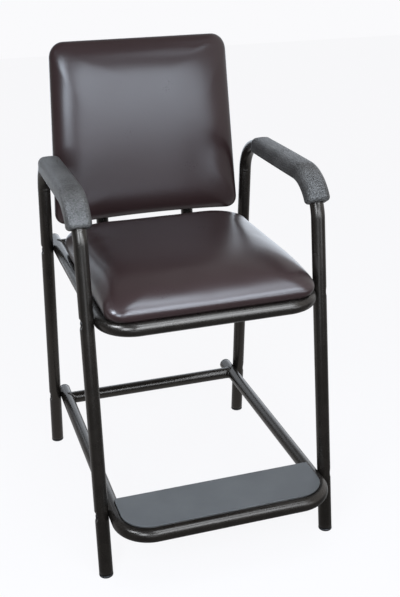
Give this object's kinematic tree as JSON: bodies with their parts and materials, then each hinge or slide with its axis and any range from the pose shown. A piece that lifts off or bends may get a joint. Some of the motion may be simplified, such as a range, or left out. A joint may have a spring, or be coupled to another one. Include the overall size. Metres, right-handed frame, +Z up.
{
  "type": "high hip chair",
  "caption": "High hip chair with bent tube legs and arms, a thick padded seat and back, moulded arm pads, and a low tube footrest with a flat plate.",
  "frame": {"origin": "on the floor, at the middle of the chair's overall width and depth", "axes": "+Z up, -Y towards the front of the chair, +X across the chair to the right as seen from the front"},
  "size_m": [0.597, 0.7624, 1.1241],
  "materials": {
    "frame_paint": "satin dark bronze powder coat",
    "bolt_black": "blackened button head",
    "steel": "zinc plated",
    "vinyl": "satin dark brown vinyl over foam",
    "board": "plywood",
    "pad_foam": "fine-pebbled moulded foam skin",
    "plug_black": "moulded black",
    "plate_grey": "matte dark grey"
  },
  "bodies": {
    "root": {"left_side_frame": "frame_paint", "right_side_frame": "frame_paint", "seat_frame_tube": "frame_paint", "seat_cross_rail": "frame_paint", "footrest_frame_tube": "frame_paint", "footrest_cross_rail": "frame_paint", "left_back_upright": "frame_paint", "right_back_upright": "frame_paint", "front_seat_strap": "frame_paint", "rear_seat_strap": "frame_paint", "footrest_strap": "frame_paint", "seat_frame_bolts": "bolt_black", "footrest_frame_bolts": "bolt_black", "seat_frame_nuts": "steel", "footrest_frame_nuts": "steel", "back_tee_nuts": "steel", "back_bolts": "steel", "seat_board_screws": "steel", "footrest_plate_screws": "steel", "arm_pad_screws": "steel", "seat_cushion": "vinyl", "back_cushion": "vinyl", "back_rear_cover": "vinyl", "seat_board": "board", "back_board": "board", "left_arm_pad": "pad_foam", "right_arm_pad": "pad_foam", "front_left_glide": "plug_black", "front_right_glide": "plug_black", "rear_left_glide": "plug_black", "rear_right_glide": "plug_black", "seat_tube_plugs": "plug_black", "footrest_tube_plugs": "plug_black", "upright_plugs": "plug_black", "footrest_plate": "plate_grey"}
  },
  "joints": []
}
